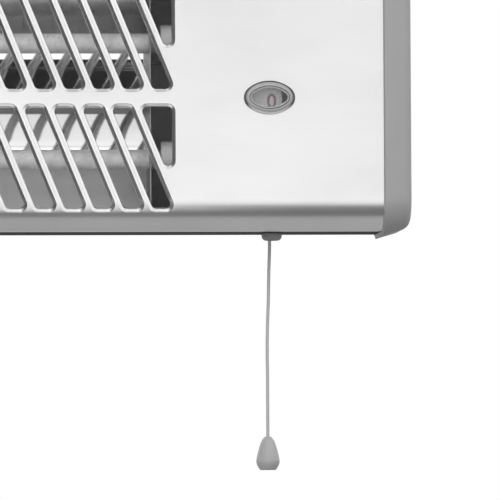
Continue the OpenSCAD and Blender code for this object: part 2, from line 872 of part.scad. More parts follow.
module cable_clamp_screws() {
    color("silver") in_heater() for (s = [-1, 1]) {
        rod_depth(gland_x + clamp_reach * s, clamp_z, clamp_front - 2.1, clamp_front - seat_gap, 3);
        rod_depth(gland_x + clamp_reach * s, clamp_z, clamp_front - seat_gap, body_depth + 1.5, 1.5);
    }
}

// Wiring, with each route in the heater's frame

right_pin = tube_mid + pin_end;
left_pin = tube_mid - pin_end;
tab_top = switch_h / 2 + 8;
jumper_x = left_pin - 12;

tube_z = tube_spacing / 2;
upper_route = [[right_pin, tube_depth, tube_z], [right_pin + 6, tube_depth, tube_z], [174, 33, tube_z + 4],
    [177, 41, 41], [switch_x - 10, tab_depth, 38], [switch_x - 10, tab_depth, tab_top]];
lower_route = [[right_pin, tube_depth, -tube_z], [right_pin + 5, tube_depth, -tube_z],
    [172, 34, -tube_z - 1], [176, 45, -tube_z - 3], [181, 57, -35], [190, lead_run - 4, -32],
    [204, lead_run - 1, -24], [211, lead_run - 1, -10], [213, lead_run - 3, 5], [212, lead_run - 8, 20],
    [209, 54, 33], [204, 49, 40], [198.5, 46.5, 40], [switch_x + 10, tab_depth, 35.5],
    [switch_x + 10, tab_depth, tab_top]];
return_route = [[jumper_x, tube_depth + 2.8, 0], [jumper_x, tube_depth + 7, 0],
    [jumper_x + 1, tube_depth + 17, 4], [jumper_x + 6, lead_run - 11, 12], [jumper_x + 14, lead_run - 3, 20],
    [jumper_x + 25, lead_run, lead_z], [jumper_x + 37, lead_run, lead_z], [-184, lead_run, lead_z],
    [-150, lead_run, lead_z], [-90, lead_run, lead_z], [0, lead_run, lead_z], [70, lead_run, lead_z],
    [120, lead_run, lead_z], [partition_x - 16, lead_run, lead_z], [partition_x - 2, lead_run, lead_z],
    [partition_x + 10, lead_run, 25], [partition_x + 22, lead_run, 28], [198, pole_depth, 32],
    [209, pole_depth, block_z], [217, pole_depth, block_z], [block_x - 11, pole_depth, block_z]];
line_z = block_z + pole_step;
supply_route = [[partition_x + 13, cutout_depth, 52], [182, cutout_depth, 52], [190, cutout_depth + 3, 53],
    [202, pole_depth - 4, 47], [212, pole_depth - 0.5, line_z + 1], [218, pole_depth, line_z],
    [block_x - 11, pole_depth, line_z]];
switch_route = [[partition_x + 13, cutout_depth, 44], [181, cutout_depth - 0.5, 44], [185, 51, 43],
    [switch_x, tab_depth, 37.5], [switch_x, tab_depth, tab_top]];
jumper_route = [[left_pin, tube_depth, tube_z], [left_pin - 6, tube_depth, tube_z - 1],
    [jumper_x + 1, tube_depth, 22], [jumper_x, tube_depth, 10], [jumper_x, tube_depth, 0],
    [jumper_x, tube_depth, -10], [jumper_x + 1, tube_depth, -22], [left_pin - 6, tube_depth, 1 - tube_z],
    [left_pin, tube_depth, -tube_z]];

module lead(route, steps, ref) {
    in_heater() tube(smooth(route, steps), lead_d / 2, 8, ref);
}

module lead_upper() {
    color("white") lead(upper_route, 4, [-1, 1, 1]);
}

module lead_lower() {
    color("white") lead(lower_route, 3, [-0.5, 1, 0.5]);
}

module lead_return() {
    color("white") lead(return_route, 3, [-0.5, 0, 1]);
}

module lead_supply() {
    color("white") lead(supply_route, 4, [0, -0.5, -1]);
}

module lead_switch() {
    color("white") lead(switch_route, 4, [-0.5, -1, 0.5]);
}

module tube_jumper() {
    color("white") lead(jumper_route, 4, [0, 1, 0]);
}

module splice_sleeve() {
    color("silver") in_heater() difference() {
        rod_z(jumper_x, tube_depth, -4, 4, 2.7);
        rod_z(jumper_x, tube_depth, -5, 5, lead_d / 2 + seat_gap);
    }
}

// Pull cord

module cord_inner() {
    color("lightgray") in_heater() rod_z(cord_x, cord_depth, cord_exit, 0, cord_d / 2);
}

module pull_cord() {
    color("lightgray") tube(cord_route, cord_d / 2, 8);
}

module cord_knob() {
    r = knob_d / 2;
    h = knob_h;
    color("darkgray") translate(knob_top) rotate_extrude($fn = round_fn) polygon([[0, 0], [0.15 * r, 0],
        [0.31 * r, -0.02 * h], [0.44 * r, -0.07 * h], [0.57 * r, -0.14 * h], [0.7 * r, -0.27 * h],
        [0.82 * r, -0.42 * h], [0.92 * r, -0.57 * h], [0.98 * r, -0.66 * h], [r, -0.73 * h],
        [0.98 * r, -0.79 * h], [0.9 * r, -0.87 * h], [0.77 * r, -0.95 * h], [0.66 * r, -h], [0, -h]]);
}

module cord_grommet() {
    under = -panel_h / 2;
    neck_r = grommet_d / 2 - 1.4;
    flange_r = grommet_d / 2;
    in_r = grommet_d / 2 - 0.6;
    color("dimgray") in_heater() translate([grommet_x, cord_depth, under]) difference() {
        rotate_extrude($fn = round_fn) polygon([[0, -grommet_h], [flange_r - 2.2, -grommet_h],
            [flange_r - 0.9, -grommet_h + 0.5], [flange_r - 0.2, -grommet_h + 1.6], [flange_r, -seat_gap],
            [neck_r, -seat_gap], [neck_r, casing_t + seat_gap], [in_r, casing_t + seat_gap],
            [in_r - 0.6, casing_t + 1.5], [0, casing_t + 1.5]]);
        translate([0, 0, -grommet_h - 1]) cylinder(h = grommet_h + 6, r = 2.4, $fn = 32);
    }
}

// Wall bracket and tilt pivots

pivot_depth = body_depth + pivot_gap;

module lug_rivet_places() {
    sides() for (s = [-1, 1]) translate([lug_outer - 12, body_depth, -pivot_drop + s * rivet_spread / 2])
        children();
}

module pivot_lug() {
    tab_w = 18;
    half_h = 8;
    difference() {
        union() {
            along_x(lug_outer - lug_t, lug_outer) {
                translate([pivot_depth, -pivot_drop]) circle(half_h, $fn = round_fn);
                translate([body_depth, -pivot_drop - half_h]) square([pivot_gap, 2 * half_h]);
            }
            along_x(lug_outer - tab_w, lug_outer) translate([body_depth, -pivot_drop - half_h])
                square([lug_t, 2 * half_h]);
        }
        rod_x(lug_outer - 5, lug_outer + 5, pivot_depth, -pivot_drop, bolt_d / 2 + run_gap);
        for (s = [-1, 1]) rod_depth(lug_outer - 12, -pivot_drop + s * rivet_spread / 2, body_depth - 1,
            body_depth + 4, 1.6);
    }
}

module pivot_lug_left() {
    color("dimgray") in_heater() mirror([1, 0, 0]) pivot_lug();
}

module pivot_lug_right() {
    color("dimgray") in_heater() pivot_lug();
}

module lug_rivets() {
    color("silver") in_heater() lug_rivet_places() {
        rod_depth(0, 0, -casing_t - 0.8, lug_t + 0.9, 1.5);
        rod_depth(0, 0, lug_t, lug_t + 1, 2.6);
        rod_depth(0, 0, -casing_t - 1, -casing_t, 2.4);
    }
}

module pivot_bolts() {
    head_x = lug_outer - lug_t;
    color("silver") in_heater() sides() {
        rod_x(head_x - 2.6, head_x, pivot_depth, -pivot_drop, bolt_d);
        rod_x(head_x, ear_outer + bolt_tail, pivot_depth, -pivot_drop, bolt_d / 2);
    }
}

module friction_washers() {
    color("sienna") in_heater() sides() difference() {
        rod_x(lug_outer, lug_outer + washer_t, pivot_depth, -pivot_drop, washer_r);
        rod_x(lug_outer - 1, lug_outer + 5, pivot_depth, -pivot_drop, bolt_d / 2 + run_gap);
    }
}

module wing_nut() {
    base = ear_outer + seat_gap;
    wing_t = 1.8;
    translate([base, pivot_depth, -pivot_drop]) difference() {
        union() {
            rotate([0, 90, 0]) cylinder(h = 7, r1 = bolt_d + 0.8, r2 = bolt_d - 0.6, $fn = round_fn);
            for (a = [0, 180]) rotate([a, 0, 0]) translate([0, wing_t / 2, 0]) rotate([90, 0, 0])
                linear_extrude(wing_t) {
                    translate([7.5, 7.4]) circle(3.1, $fn = 32);
                    polygon([[1, 3], [5.5, 2.6], [10.3, 6], [5.4, 9.7], [1.4, 5.4]]);
                }
        }
        rod_x(-1, 12, 0, 0, bolt_d / 2 + run_gap);
    }
}

module wing_nut_left() {
    color("silver") in_heater() mirror([1, 0, 0]) wing_nut();
}

module wing_nut_right() {
    color("silver") in_heater() wing_nut();
}

// The U-shaped strip: a back plate on the wall with an ear bent forward at each end
module bracket_plan(inset) {
    bend_r = 5 - inset;
    half = ear_outer - inset;
    reach = pivot_out + 20;
    for (s = [-1, 1]) translate([s * (half - bend_r), -inset - bend_r]) circle(bend_r, $fn = round_fn);
    translate([-half + bend_r, -inset - bend_r]) square([2 * (half - bend_r), bend_r]);
    translate([-half, -reach]) square([2 * half, reach - inset - bend_r]);
}

module bracket_side() {
    translate([-pivot_out, 0]) circle(ear_r, $fn = round_fn);
    polygon([[-6, -bracket_h / 2], [0.1, -bracket_h / 2], [0.1, bracket_h / 2], [-6, bracket_h / 2],
        [-pivot_out, ear_r], [-pivot_out, -ear_r]]);
}

module wall_bracket() {
    color("dimgray") difference() {
        intersection() {
            translate([0, 0, -bracket_h / 2]) linear_extrude(bracket_h) difference() {
                bracket_plan(0);
                bracket_plan(bracket_t);
            }
            along_x(-ear_outer - 1, ear_outer + 1) bracket_side();
        }
        rod_x(-ear_outer - 1, ear_outer + 1, -pivot_out, 0, bolt_d / 2 + run_gap);
        for (s = [-1, 1]) rod_depth(s * screw_spacing / 2, 0, -bracket_t - 1, 1, screw_hole_d / 2);
    }
}

front_panel();
rear_casing();
end_cap_left();
end_cap_right();
end_plate_left();
end_plate_right();
end_cap_screws();
panel_screws();
reflector();
reflector_end_left();
reflector_end_right();
quartz_tube_upper();
quartz_tube_lower();
heating_coil_upper();
heating_coil_lower();
tube_sockets_left();
tube_sockets_right();
tube_bracket_left();
tube_bracket_right();
tube_terminals();
partition();
lens();
lens_retainer();
indicator_dial();
dial_shaft();
ratchet_wheel();
detent_leaf();
cord_drum();
cord_wrap();
drive_pawl();
return_spring();
switch_housing();
switch_cover();
switch_bracket();
switch_terminals();
cord_inner();
pull_cord();
cord_knob();
cord_grommet();
thermal_cutout();
terminal_block();
cable_gland();
gland_nut();
cable_clamp();
cable_clamp_screws();
lead_upper();
lead_lower();
lead_return();
lead_supply();
lead_switch();
tube_jumper();
splice_sleeve();
pivot_lug_left();
pivot_lug_right();
lug_rivets();
pivot_bolts();
friction_washers();
wing_nut_left();
wing_nut_right();
wall_bracket();
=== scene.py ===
"""Looks of a wall-mounted infrared heater.

Brushed steel front, polished troughs, frosted tubes, a dial behind its window, and a pull cord.
"""

import json
import math

import bmesh
import bpy
from mathutils import Matrix, Vector


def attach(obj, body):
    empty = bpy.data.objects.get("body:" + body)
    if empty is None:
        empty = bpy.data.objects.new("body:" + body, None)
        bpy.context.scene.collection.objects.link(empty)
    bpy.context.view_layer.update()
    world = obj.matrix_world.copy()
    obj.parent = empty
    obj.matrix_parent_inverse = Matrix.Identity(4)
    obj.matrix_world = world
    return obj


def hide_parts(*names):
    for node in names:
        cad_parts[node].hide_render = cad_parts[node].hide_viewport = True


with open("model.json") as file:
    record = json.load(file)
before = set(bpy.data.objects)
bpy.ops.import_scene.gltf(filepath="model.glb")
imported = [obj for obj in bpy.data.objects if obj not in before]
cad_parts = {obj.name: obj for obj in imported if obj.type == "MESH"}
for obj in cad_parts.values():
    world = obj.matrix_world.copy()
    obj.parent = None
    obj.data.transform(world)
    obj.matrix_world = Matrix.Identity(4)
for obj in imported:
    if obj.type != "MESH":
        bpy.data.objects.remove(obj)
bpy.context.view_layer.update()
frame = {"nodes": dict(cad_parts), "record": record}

MM = 0.001
FRONT = 110.0       # front face of the heater, in millimetres from the wall
MIDDLE = 34.0       # height of the heater's middle over the tilt pivots


def place(x, depth, z):
    """A point given in millimetres along the heater, behind its front face and from its mid height."""
    return Vector((x * MM, (depth - FRONT) * MM, (MIDDLE + z) * MM))


# ---- camera

def make_camera():
    """The camera fitted to the photo: its stand in metres, its turns in degrees, its focal length in pixels."""
    stand = (-0.0323, -3.3087, -0.1918)
    yaw, pitch, roll = (math.radians(a) for a in (3.906, 2.548, -0.297))
    focal_px, picture_px, sensor_mm = 5897.5, 500, 36.0
    ahead = Vector((math.sin(yaw) * math.cos(pitch), math.cos(yaw) * math.cos(pitch), math.sin(pitch)))
    right = Vector((math.cos(yaw), -math.sin(yaw), 0))
    up = right.cross(ahead)
    level = right * math.cos(roll) + up * math.sin(roll)
    rise = up * math.cos(roll) - right * math.sin(roll)
    data = bpy.data.cameras.new("camera")
    data.sensor_width = sensor_mm
    data.lens = focal_px / picture_px * sensor_mm
    data.clip_start, data.clip_end = 0.05, 60.0
    camera = bpy.data.objects.new("camera", data)
    bpy.context.scene.collection.objects.link(camera)
    turn = Matrix((level, rise, -ahead)).transposed()
    camera.matrix_world = Matrix.Translation(stand) @ turn.to_4x4()
    bpy.context.scene.camera = camera


make_camera()


# ---- working with meshes as by hand

def only(obj):
    """Selects obj alone and makes it active."""
    bpy.ops.object.select_all(action="DESELECT")
    obj.select_set(True)
    bpy.context.view_layer.objects.active = obj


def start_edit(obj, mode="FACE"):
    """Opens obj for editing with all of it selected."""
    only(obj)
    bpy.ops.object.mode_set(mode="EDIT")
    bpy.ops.mesh.select_mode(type=mode)
    bpy.ops.mesh.select_all(action="SELECT")


def end_edit():
    bpy.ops.object.mode_set(mode="OBJECT")


def pick(obj, faces=None, edges=None):
    """In edit mode, selects the faces or edges that pass a test."""
    bpy.ops.mesh.select_all(action="DESELECT")
    bm = bmesh.from_edit_mesh(obj.data)
    for f in bm.faces if faces else ():
        f.select_set(bool(faces(f)))
    for e in bm.edges if edges else ():
        e.select_set(bool(edges(e)))
    bm.select_flush_mode()
    bmesh.update_edit_mesh(obj.data)


def new_mesh(name, verts, faces=(), edges=()):
    """A new object in the scene, made from its points, faces and edges."""
    mesh = bpy.data.meshes.new(name)
    mesh.from_pydata([tuple(v) for v in verts], list(edges), list(faces))
    obj = bpy.data.objects.new(name, mesh)
    bpy.context.scene.collection.objects.link(obj)
    return obj


def with_modifier(obj, kind, **values):
    """Adds a modifier, sets its values and applies it."""
    only(obj)
    mod = obj.modifiers.new(kind.lower(), kind)
    for key, value in values.items():
        setattr(mod, key, value)
    bpy.ops.object.modifier_apply(modifier=mod.name)


def smooth(obj, angle):
    """Shades obj smooth, but for edges sharper than an angle in degrees."""
    only(obj)
    bpy.ops.object.shade_smooth_by_angle(angle=math.radians(angle))


def outward(obj):
    """Welds an object's points and turns its faces outward."""
    start_edit(obj)
    bpy.ops.mesh.remove_doubles(threshold=1e-6)
    bpy.ops.mesh.normals_make_consistent(inside=False)
    end_edit()


def settle(obj):
    """Puts the object's place, turn and scale into its mesh."""
    only(obj)
    bpy.ops.object.transform_apply(location=True, rotation=True, scale=True)


def join(name, parts):
    """Makes one object of several, under a new name."""
    only(parts[0])
    for p in parts[1:]:
        p.select_set(True)
    bpy.ops.object.join()
    parts[0].name = parts[0].data.name = name
    return parts[0]


def turned(name, profile, centre, axis, sides=64, closed=False):
    """Turns a profile of (radius, height) in millimetres round an axis: a circle drawn out ring by ring."""
    radius, height = profile[0]
    bpy.ops.object.select_all(action="DESELECT")
    bpy.ops.mesh.primitive_circle_add(vertices=sides, radius=radius * MM, location=(0, 0, height * MM),
                                      fill_type="NOTHING" if closed else "NGON")
    obj = bpy.context.active_object
    obj.name = name
    settle(obj)
    start_edit(obj, "EDGE")
    for (r0, h0), (r1, h1) in zip(profile, profile[1:] + profile[:1 if closed else 0]):
        bpy.ops.mesh.extrude_region_move(TRANSFORM_OT_translate={"value": (0, 0, (h1 - h0) * MM)})
        bpy.ops.transform.resize(value=(r1 / r0, r1 / r0, 1), center_override=(0, 0, h1 * MM))
    end_edit()
    outward(obj)
    to_axis = Vector((0, 0, 1)).rotation_difference(Vector(axis)).to_matrix().to_4x4()
    obj.data.transform(Matrix.Translation(centre) @ to_axis)
    smooth(obj, 35)
    return obj


# ---- working with nodes. A value is a constant, or the output of another node.

def feed(tree, made, inputs):
    """Gives each named or numbered input of a node its value."""
    for key, value in inputs.items():
        if isinstance(value, bpy.types.NodeSocket):
            tree.links.new(value, made.inputs[key])
        else:
            made.inputs[key].default_value = value


def node(tree, kind, **values):
    """A new node with its properties and its inputs."""
    made = tree.nodes.new(kind)
    for key, value in values.items():
        if hasattr(made, key):
            setattr(made, key, value)
        else:
            feed(tree, made, {key.replace("_", " "): value})
    return made


def maths(tree, operation, *values, kind="ShaderNodeMath", output="Value"):
    """The result of a sum on some values."""
    made = node(tree, kind, operation=operation)
    feed(tree, made, dict(enumerate(values)))
    return made.outputs[output]


def vector_maths(tree, operation, *values, output="Vector"):
    """The result of a sum on some vectors."""
    return maths(tree, operation, *values, kind="ShaderNodeVectorMath", output=output)


def ramp(tree, value, **limits):
    """A value carried from one range to another."""
    return node(tree, "ShaderNodeMapRange", Value=value, **limits).outputs["Result"]


def blend(tree, share, first, second, kind="RGBA"):
    """A mix of two colours, or of two numbers."""
    made = node(tree, "ShaderNodeMix", data_type=kind)
    low, high, output = (6, 7, 2) if kind == "RGBA" else (2, 3, 0)
    low_end, high_end = ((*v, 1) if isinstance(v, tuple) else v for v in (first, second))
    feed(tree, made, {0: share, low: low_end, high: high_end})
    return made.outputs[output]


def axes(tree, vector):
    """The three parts of a vector."""
    return node(tree, "ShaderNodeSeparateXYZ", Vector=vector).outputs


def opened(material):
    """A material's nodes, its shader, and new texture coordinates."""
    tree = material.node_tree
    return tree, tree.nodes["Principled BSDF"], node(tree, "ShaderNodeTexCoord").outputs


def fed_by(shader, name):
    """The output that is linked to an input of the shader."""
    return shader.inputs[name].links[0].from_socket


# ---- shared effects, as node groups

def group(name, scales, outputs):
    """A new node group over a position, with named scales and named outputs."""
    tree = bpy.data.node_groups.new(name, "ShaderNodeTree")
    tree.interface.new_socket(name="Vector", in_out="INPUT", socket_type="NodeSocketVector")
    for label, value in scales.items():
        tree.interface.new_socket(name=label, in_out="INPUT", socket_type="NodeSocketFloat").default_value = value
    for label in outputs:
        tree.interface.new_socket(name=label, in_out="OUTPUT", socket_type="NodeSocketFloat")
    return tree, tree.nodes.new("NodeGroupInput").outputs, tree.nodes.new("NodeGroupOutput")


def noise(tree, vector, scale, **values):
    """A noise pattern over a position."""
    return node(tree, "ShaderNodeTexNoise", Vector=vector, Scale=scale, **values).outputs["Fac"]


def make_grain():
    """Fine grain and broad clouds over a surface. Height is for a bump."""
    tree, start, end = group("grain", {"Scale": 900.0, "Cloud Scale": 14.0}, ("Fine", "Cloud", "Height"))
    fine = noise(tree, start["Vector"], start["Scale"], Detail=4.0, Roughness=0.6)
    cloud = noise(tree, start["Vector"], start["Cloud Scale"], Detail=3.0)
    feed(tree, end, {"Fine": ramp(tree, fine, From_Min=0.3, From_Max=0.7),
                     "Cloud": ramp(tree, cloud, From_Min=0.3, From_Max=0.7), "Height": fine})
    return tree


def make_brushing():
    """Long fine scratches along x, with broad clouds from handling."""
    tree, start, end = group("brushing", {}, ("Streak", "Cloud", "Height"))
    layers = []
    for stretch, scale in (((6, 900, 900), 1.0), ((22, 2600, 2600), 1.0), ((3, 5, 7), 4.0)):
        along = node(tree, "ShaderNodeMapping", Vector=start["Vector"], Scale=stretch)
        layers.append(noise(tree, along.outputs["Vector"], scale, Detail=3.0))
    streaks, finer, cloud = layers
    both = maths(tree, "MULTIPLY_ADD", finer, 0.6, streaks)
    feed(tree, end, {"Streak": ramp(tree, both, From_Min=0.5, From_Max=1.1),
                     "Cloud": ramp(tree, cloud, From_Min=0.3, From_Max=0.7), "Height": both})
    return tree


GRAIN = make_grain()
BRUSHING = make_brushing()


def finish(name, dark, light, rough, kind=GRAIN, share=0.5, bump=0.1, bump_mm=0.05, metal=0.0,
           inputs=None, **values):
    """A material whose colour goes from dark to light and whose roughness wanders over a shared pattern."""
    material = bpy.data.materials.new(name)
    material.use_nodes = True
    tree, shader, where = opened(material)
    pattern = node(tree, "ShaderNodeGroup", node_tree=kind)
    feed(tree, pattern, {"Vector": where["Object"], **(inputs or {})})
    fine, cloud, height = pattern.outputs
    mottled = blend(tree, share, fine, cloud, "FLOAT")
    relief = node(tree, "ShaderNodeBump", Strength=bump, Distance=bump_mm * MM, Height=height)
    feed(tree, shader, {"Base Color": blend(tree, mottled, dark, light),
                        "Roughness": ramp(tree, fine, To_Min=rough[0], To_Max=rough[1]),
                        "Normal": relief.outputs["Normal"], "Metallic": metal})
    feed(tree, shader, {key.replace("_", " "): value for key, value in values.items()})
    return material


def bare_inside_painted_light(material, axis, dark, light):
    """Leaves the paint off wherever a sheet faces the long axis of the body. The near white inner side is partly the
    sheet's own colour and partly painted light in the shaded box.
    """
    tree, shader, where = opened(material)
    apart = vector_maths(tree, "SUBTRACT", where["Object"], axis)
    across = vector_maths(tree, "MULTIPLY", apart, (0, 1, 1))
    facing = vector_maths(tree, "DOT_PRODUCT", across, where["Normal"], output="Value")
    inside = maths(tree, "LESS_THAN", facing, 0.0)
    # Near white for the inner side: partly its own colour, partly painted light where the box is in shade.
    bare_tone_and_painted_light = blend(tree, tree.nodes["Group"].outputs["Cloud"], dark, light)
    feed(tree, shader, {"Base Color": blend(tree, inside, fed_by(shader, "Base Color"), bare_tone_and_painted_light)})


def satin_below(material, height, rough, metal, tone):
    """Turns a polished sheet satin under a height, where it is a plain flank."""
    tree, shader, where = opened(material)
    below = ramp(tree, axes(tree, where["Object"])["Z"], From_Min=height, From_Max=height - 2 * MM)
    feed(tree, shader, {"Roughness": blend(tree, below, fed_by(shader, "Roughness"), rough, "FLOAT"),
                        "Metallic": ramp(tree, below, To_Min=1.0, To_Max=metal),
                        "Base Color": blend(tree, below, fed_by(shader, "Base Color"), tone)})


def grey(value, warm=0.0):
    """A grey colour, warmer or cooler by a share."""
    return (value * (1 + warm), value, value * (1 - warm))


FINISHES = {
    "stainless_sheet": finish("brushed_stainless", grey(0.89), grey(0.99), (0.28, 0.3), kind=BRUSHING, share=0.9,
                              bump=0.01, bump_mm=0.01, metal=1.0),
    "dark_casing": finish("casing_paint", grey(0.03), grey(0.045), (0.6, 0.7), bump=0.2,
                          inputs={"Scale": 1500.0}, Specular_IOR_Level=0.2),
    "grey_moulding": finish("cap_moulding", grey(0.31), grey(0.345), (0.42, 0.52), bump=0.25, share=0.7,
                            inputs={"Scale": 2200.0, "Cloud Scale": 20.0}),
    "plated_sheet": finish("zinc_sheet", grey(0.45), grey(0.62), (0.3, 0.45), metal=1.0, share=0.6,
                           inputs={"Scale": 120.0, "Cloud Scale": 40.0}),
    "zinc_screw": finish("bright_zinc", grey(0.5, 0.02), grey(0.68, 0.02), (0.2, 0.36), metal=1.0,
                         inputs={"Scale": 700.0, "Cloud Scale": 160.0}),
    "polished_aluminium": finish("polished_trough", grey(0.84), grey(0.91), (0.03, 0.08), kind=BRUSHING,
                                 bump=0.02, bump_mm=0.02, metal=1.0),
    "frosted_quartz": finish("frosted_quartz", grey(0.68), grey(0.99), (0.24, 0.4), share=0.9, bump=0.05,
                             bump_mm=0.1, inputs={"Scale": 160.0, "Cloud Scale": 130.0}, Transmission_Weight=0.15,
                             IOR=1.46),
    "resistance_wire": finish("oxidised_wire", grey(0.05), grey(0.12), (0.4, 0.6), metal=1.0,
                              inputs={"Scale": 900.0}),
    "steatite": finish("steatite", grey(0.86, 0.01), grey(0.93, 0.01), (0.5, 0.7), bump=0.3,
                       inputs={"Scale": 700.0, "Cloud Scale": 60.0}),
    "terminal_metal": finish("terminal_brass", (0.42, 0.31, 0.12), (0.6, 0.46, 0.2), (0.25, 0.42), metal=1.0,
                             inputs={"Scale": 500.0}),
    "clear_window": finish("clear_window", grey(0.97), grey(0.99), (0.01, 0.04), bump=0.01,
                           inputs={"Scale": 90.0}, Transmission_Weight=1.0, IOR=1.49),
    "dial_plastic": finish("dial_plastic", grey(0.9), grey(0.96), (0.45, 0.6), bump=0.1,
                           inputs={"Scale": 800.0, "Cloud Scale": 80.0}),
    "switch_plastic": finish("switch_plastic", grey(0.6, 0.05), grey(0.68, 0.05), (0.4, 0.5), bump=0.1),
    "grey_cord": finish("cord_core", grey(0.3), grey(0.36), (0.7, 0.8), inputs={"Scale": 2000.0}),
    "knob_plastic": finish("knob_plastic", grey(0.38), grey(0.43), (0.3, 0.4), bump=0.06, share=0.7,
                           inputs={"Scale": 1800.0, "Cloud Scale": 60.0}),
    "black_plastic": finish("black_plastic", grey(0.12), grey(0.15), (0.38, 0.5), bump=0.15,
                            inputs={"Scale": 1600.0}),
    "silicone_lead": finish("silicone_lead", grey(0.66, 0.02), grey(0.74, 0.02), (0.5, 0.6)),
    "fibre_washer": finish("fibre_washer", (0.12, 0.06, 0.03), (0.2, 0.1, 0.06), (0.7, 0.85), bump=0.4),
    "bracket_steel": finish("bracket_paint", grey(0.025), grey(0.04), (0.38, 0.5), bump=0.25,
                            inputs={"Scale": 1300.0}),
}
# Inside of the casing: partly its own bare colour, partly painted light in the shaded box.
bare_inside_painted_light(FINISHES["dark_casing"], axis=(0, -0.07, 0.034), dark=grey(0.82), light=grey(0.93))
satin_below(FINISHES["polished_aluminium"], height=-0.001, rough=0.4, metal=0.6, tone=grey(0.8))
SLOT_OF = {part["node"]: part["material_slot"] for part in frame["record"]["subparts"]}
for name, obj in frame["nodes"].items():
    obj.material_slots[0].material = FINISHES[SLOT_OF[name]]
# A darker copy of the plated sheet for the reflector's end plates: painted shade, as they stand in the dark box
# beside the troughs.
shaded_end_sheet = finish("painted_shade_end_sheet", grey(0.3), grey(0.38), (0.3, 0.42), metal=1.0, share=0.6,
                   inputs={"Scale": 120.0, "Cloud Scale": 40.0})
for name in ("reflector_end_left", "reflector_end_right"):
    frame["nodes"][name].material_slots[0].material = shaded_end_sheet


def dress(obj, body, slot, *nodes, material=None):
    """Gives a finished piece its material, its body and the CAD nodes that it stands for."""
    obj.data.materials.clear()
    obj.data.materials.append(material or FINISHES[slot])
    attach(obj, body)
    if nodes:
        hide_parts(*nodes)
    return obj


# ---- pull cord, its knob and grommet

CORD = [Vector(point) * MM for point in (
    (200, -65, -42), (200, -65, -45), (199.9, -65, -49), (199.7, -65, -54), (199.5, -65, -59),
    (199.4, -65, -64), (199.3, -65, -69), (199.2, -65, -74), (199, -65, -79), (198.8, -65, -84),
    (198.6, -65, -89), (198.5, -65, -94), (198.4, -65, -99), (198.4, -65, -104), (198.4, -65, -109),
    (198.5, -65, -114), (198.5, -65, -119), (198.5, -65, -124), (198.5, -65, -129), (198.5, -65, -134),
    (198.5, -65, -139), (198.5, -65, -144), (198.5, -65, -148), (198.5, -65, -150))]
CORD_R = 0.9 * MM


def braid_material():
    """Two sets of strands that cross round the cord, on its own map: u round it, v along it in millimetres."""
    strands, lay_mm = 4, 0.9
    material = finish("braided_cord", grey(0.34), grey(0.62), (0.7, 0.85), inputs={"Scale": 2500.0})
    tree = material.node_tree
    along = axes(tree, node(tree, "ShaderNodeUVMap", uv_map="along").outputs["UV"])
    waves = []
    for way in (1, -1):
        turn = maths(tree, "MULTIPLY", along["X"], way * strands * 2 * math.pi)
        waves.append(maths(tree, "SINE", maths(tree, "MULTIPLY_ADD", along["Y"], 2 * math.pi / lay_mm, turn)))
    height = ramp(tree, maths(tree, "MULTIPLY", *waves), From_Min=-1.0, From_Max=1.0)
    colour = next(n for n in tree.nodes if n.type == "MIX" and n.data_type == "RGBA")
    relief = next(n for n in tree.nodes if n.type == "BUMP")
    feed(tree, colour, {0: height})
    feed(tree, relief, {"Strength": 0.7, "Distance": 0.12 * MM, "Height": height})
    return material


def make_cord():
    """A round cord drawn along its path, ring by ring, with a map for its braid."""
    sides = 16
    verts, faces, marks = [], [], []
    run = 0.0
    last = len(CORD) - 1
    for i, p in enumerate(CORD):
        run += (p - CORD[max(i - 1, 0)]).length
        way = (CORD[min(i + 1, last)] - CORD[max(i - 1, 0)]).normalized()
        side = Vector((0, 1, 0)).cross(way).normalized()
        front = way.cross(side)
        for k in range(sides):
            a = 2 * math.pi * k / sides
            verts.append(p + CORD_R * (math.cos(a) * side + math.sin(a) * front))
            marks.append(run / MM)
    for i in range(last):
        for k in range(sides):
            a, b = i * sides + k, i * sides + (k + 1) % sides
            faces.append((a, b, b + sides, a + sides))
    faces.append(tuple(reversed(range(sides))))
    faces.append(tuple(range(last * sides, last * sides + sides)))
    obj = new_mesh("pull_cord_braid", verts, faces)
    layer = obj.data.uv_layers.new(name="along")
    for face in obj.data.polygons:
        ring = [obj.data.loops[i].vertex_index % sides for i in face.loop_indices]
        for i, k in zip(face.loop_indices, ring):
            wrap = 1.0 if k == 0 and sides - 1 in ring else 0.0
            layer.data[i].uv = (k / sides + wrap, marks[obj.data.loops[i].vertex_index])
    smooth(obj, 60)
    return dress(obj, "pull", "grey_cord", "pull_cord", material=braid_material())


cord = make_cord()

KNOB = [(0.95, 0.25), (1.15, 0.05), (2.0, -0.35), (2.75, -1.25), (3.3, -2.1), (3.75, -2.9), (4.15, -4.0), (4.6, -5.3),
        (5.0, -6.6), (5.4, -8.1), (5.75, -9.5), (6.05, -10.8), (6.3, -12.0), (6.45, -13.0), (6.48, -13.6),
        (6.4, -14.4), (6.18, -15.2), (5.85, -16.0), (5.4, -16.8), (4.95, -17.5), (4.65, -18.0), (4.35, -18.35),
        (3.9, -18.5), (3.2, -18.5), (3.0, -18.35), (2.6, -18.35)]
knob = turned("pull_knob", KNOB, CORD[-1], (0, 0, 1), sides=72)
with_modifier(knob, "BEVEL", width=0.15 * MM, segments=2, limit_method="ANGLE", angle_limit=math.radians(50))
smooth(knob, 50)
dress(knob, "pull", "knob_plastic", "cord_knob")

